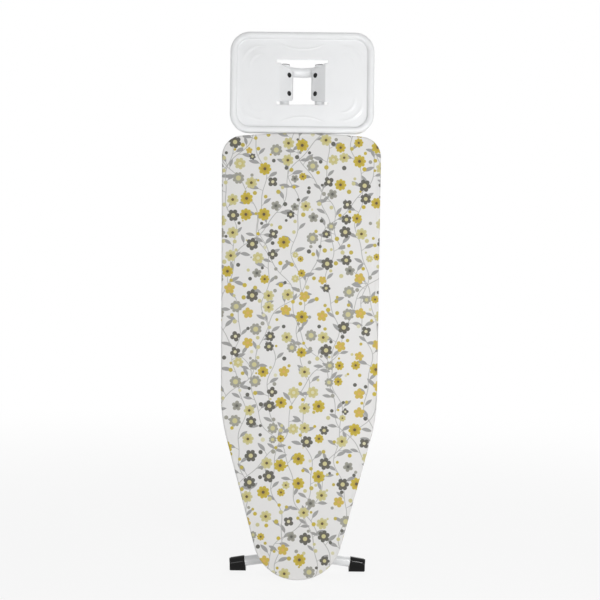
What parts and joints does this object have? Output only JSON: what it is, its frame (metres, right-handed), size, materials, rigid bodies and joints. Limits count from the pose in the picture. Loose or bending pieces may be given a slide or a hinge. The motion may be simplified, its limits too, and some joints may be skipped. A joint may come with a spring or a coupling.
{
  "type": "ironing board",
  "caption": "folding ironing board with padded print cover, scissor tube legs, release lever and steel iron tray",
  "frame": {"origin": "centre of the bounding box's underside, on the floor that the folded board stands on", "axes": "+X across the board, -Y out of the ironing surface, +Z from the nose to the iron tray"},
  "size_m": [0.384, 0.1056, 1.3266],
  "materials": {
    "white_paint": "white powder coat, satin",
    "zinc_steel": "bright zinc",
    "black_gloss": "glossy black",
    "black_matte": "matte black",
    "black_screws": "black oxide",
    "printed_cotton": "woven cotton with a small floral print",
    "felt": "needled felt"
  },
  "bodies": {
    "board": {"board_top": "white_paint", "tray_arm_left": "white_paint", "tray_arm_right": "white_paint", "tray_cross_tube": "white_paint", "iron_tray": "white_paint", "hoop_saddles": "white_paint", "slide_rail_left": "zinc_steel", "slide_rail_right": "zinc_steel", "height_rack": "zinc_steel", "rod_bracket": "zinc_steel", "hinge_bolt": "zinc_steel", "hinge_nut": "zinc_steel", "return_spring": "zinc_steel", "guide_rivets": "zinc_steel", "hinge_washers": "black_matte", "storage_saddle": "black_matte", "tray_arm_plugs": "black_matte", "tray_screws": "black_screws", "cover": "printed_cotton", "pad": "felt"},
    "main_leg": {"main_leg_tube_left": "white_paint", "main_leg_tube_right": "white_paint", "main_foot_bar": "white_paint", "main_foot_cap_left": "black_gloss", "main_foot_cap_right": "black_gloss", "main_leg_plugs": "black_matte", "pivot_bolt": "zinc_steel", "pivot_nut": "zinc_steel", "pivot_spacers": "black_matte"},
    "sliding_leg": {"sliding_leg_tube_left": "white_paint", "sliding_leg_tube_right": "white_paint", "sliding_foot_bar": "white_paint", "sliding_foot_cap_left": "black_gloss", "sliding_foot_cap_right": "black_gloss", "sliding_leg_plugs": "black_matte", "slider_axle": "zinc_steel", "slider_rollers": "black_matte", "axle_caps": "black_matte"},
    "release_lever": {"release_rod": "zinc_steel", "release_grip": "black_gloss", "release_crank": "zinc_steel"},
    "lifter": {"lifter_bar": "zinc_steel"}
  },
  "joints": [
    {"name": "leg_fold", "type": "hinge", "parent": "board", "child": "main_leg", "pos_m": [0, -0.00651, 0.985], "axis": [1, 0, 0], "range_deg": [0, 54]},
    {"name": "leg_cross", "type": "hinge", "parent": "main_leg", "child": "sliding_leg", "pos_m": [0, -0.00651, 0.5335], "axis": [1, 0, 0], "range_deg": [-108, 0]},
    {"name": "lever_squeeze", "type": "hinge", "parent": "board", "child": "release_lever", "pos_m": [0, -0.02651, 0.4995], "axis": [1, 0, 0], "range_deg": [0, 12], "stiffness_Nm_per_rad": 1.2, "springref_deg": -11.46},
    {"name": "lifter_rise", "type": "slide", "parent": "board", "child": "lifter", "axis": [0, 1, 0], "range_m": [0, 0.0048]}
  ],
  "couplings": [
    {"joint": "leg_cross", "follows": "leg_fold", "ratio": -2},
    {"joint": "lifter_rise", "follows": "lever_squeeze", "m_per_rad": 0.02184}
  ]
}
